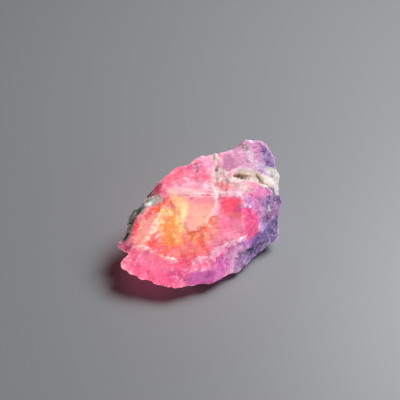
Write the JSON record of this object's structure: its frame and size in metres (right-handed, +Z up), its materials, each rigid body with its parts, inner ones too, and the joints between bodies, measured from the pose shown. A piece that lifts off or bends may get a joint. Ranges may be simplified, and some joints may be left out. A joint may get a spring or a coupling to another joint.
{
  "type": "rough hackmanite crystal",
  "caption": "Rough hackmanite crystal: a fractured lump with parting facets, a sunken vein, a slot-like cavity and a skin of matrix, flat underneath to rest on.",
  "frame": {"origin": "middle of the bounding box's underside, on the surface that the stone rests on", "axes": "+X along the longer side, towards the violet end; +Y away from the broken front face; +Z up"},
  "size_m": [0.0382, 0.0326, 0.0205],
  "materials": {
    "hackmanite": "satin"
  },
  "bodies": {
    "root": {"crystal": "hackmanite"}
  },
  "joints": []
}
